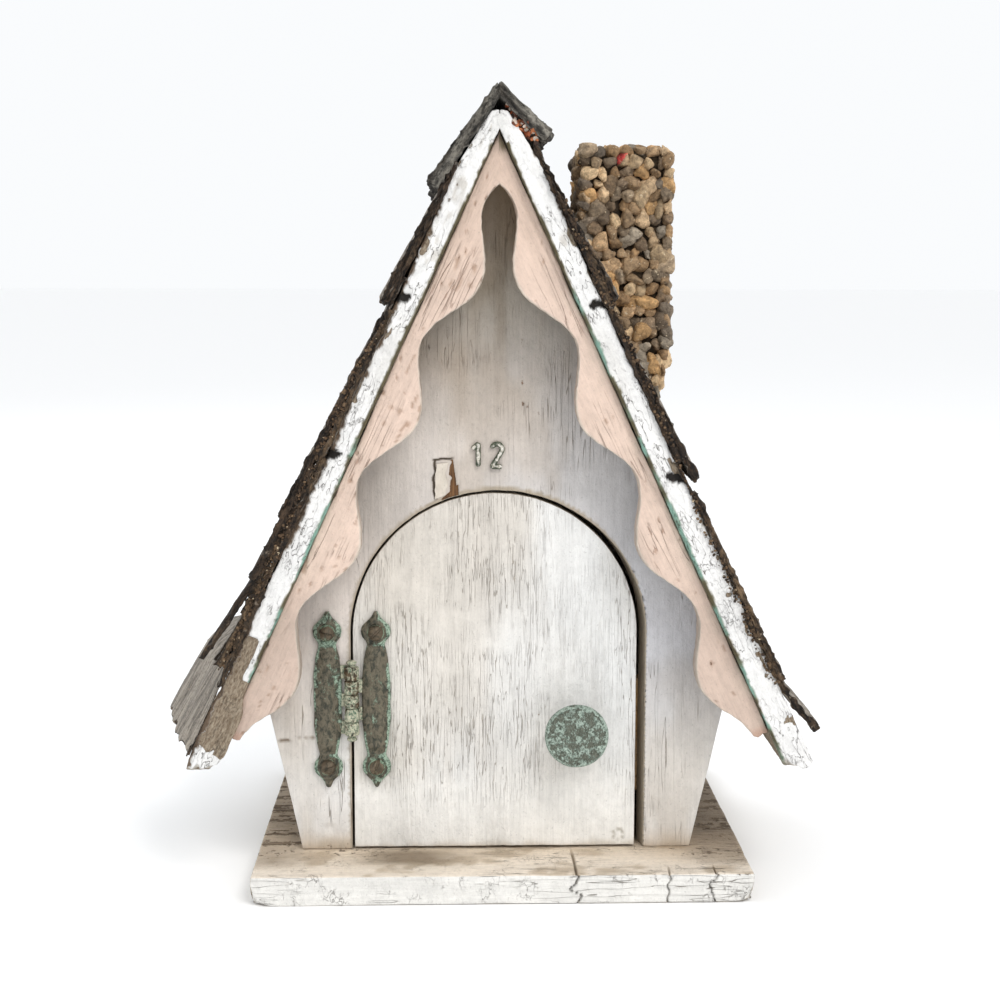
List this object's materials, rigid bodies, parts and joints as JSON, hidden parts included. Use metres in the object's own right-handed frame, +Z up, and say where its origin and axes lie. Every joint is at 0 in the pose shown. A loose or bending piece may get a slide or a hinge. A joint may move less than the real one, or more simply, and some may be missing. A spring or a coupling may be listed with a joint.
{
  "type": "birdhouse",
  "caption": "Free-standing chalet birdhouse with leaning walls, a steep shake roof, scalloped gable trim, a pebble chimney and an arched hinged door.",
  "frame": {"origin": "centre of the underside of the object's box, on the underside of the base board", "axes": "+Z up; -Y is the front with the door; +X is to the right when facing the front; the door hinge is on the -X side"},
  "size_m": [0.3131, 0.23, 0.3968],
  "materials": {
    "white_paint": "old white paint over wood, matt, with fine cracks along the grain",
    "pink_paint": "faded pink paint over wood, matt, with fine cracks along the grain",
    "weathered_base": "bare dirty wood on top, cracked white paint on the edges",
    "roof_board_wood": "weathered board with peeling white paint on its front edge",
    "split_shake": "split shake, weathered grey on top and dark brown at the butts",
    "pebbles": "brown, tan and grey pebbles, matt",
    "mortar": "dark rough bedding",
    "patina_brass": "dark brown brass with pale green patina in the hollows",
    "screw_steel": "dull steel",
    "digit_metal": "metal partly painted over in white, green at the edges",
    "bare_pine": "bare sawn pine"
  },
  "bodies": {
    "house": {"back_wall": "white_paint", "base_board": "weathered_base", "chimney_core": "mortar", "door_stop": "bare_pine", "front_wall": "white_paint", "gable_trim_left": "pink_paint", "gable_trim_right": "pink_paint", "hinge_leaf_wall": "patina_brass", "hinge_pin": "patina_brass", "hinge_screw_wall_bottom": "patina_brass", "hinge_screw_wall_top": "patina_brass", "house_digit_1": "digit_metal", "house_digit_2": "digit_metal", "pebble_skin": "pebbles", "ridge_cap_left_1": "split_shake", "ridge_cap_left_2": "split_shake", "ridge_cap_left_3": "split_shake", "ridge_cap_right_1": "split_shake", "ridge_cap_right_2": "split_shake", "ridge_cap_right_3": "split_shake", "roof_board_left": "roof_board_wood", "roof_board_right": "roof_board_wood", "shake_left_1_1": "split_shake", "shake_left_1_2": "split_shake", "shake_left_1_3": "split_shake", "shake_left_2_1": "split_shake", "shake_left_2_2": "split_shake", "shake_left_2_3": "split_shake", "shake_left_3_1": "split_shake", "shake_left_3_2": "split_shake", "shake_left_3_3": "split_shake", "shake_left_4_1": "split_shake", "shake_left_4_2": "split_shake", "shake_left_4_3": "split_shake", "shake_left_5_1": "split_shake", "shake_left_5_2": "split_shake", "shake_left_5_3": "split_shake", "shake_right_1_1": "split_shake", "shake_right_1_2": "split_shake", "shake_right_1_3": "split_shake", "shake_right_1_4": "split_shake", "shake_right_2_1": "split_shake", "shake_right_2_2": "split_shake", "shake_right_2_3": "split_shake", "shake_right_3_1": "split_shake", "shake_right_3_2": "split_shake", "shake_right_3_3": "split_shake", "shake_right_3_4": "split_shake", "shake_right_4_1": "split_shake", "shake_right_4_2": "split_shake", "shake_right_4_3": "split_shake", "side_wall_left": "white_paint", "side_wall_right": "white_paint"},
    "door": {"door_knob": "patina_brass", "door_panel": "white_paint", "hinge_leaf_door": "patina_brass", "hinge_screw_door_bottom": "patina_brass", "hinge_screw_door_top": "patina_brass", "knob_screw": "screw_steel"}
  },
  "joints": [
    {"name": "door_hinge", "type": "hinge", "parent": "house", "child": "door", "pos_m": [-0.0738, -0.0792, 0.0947], "axis": [0, 0, -1], "range_deg": [0, 80]}
  ]
}
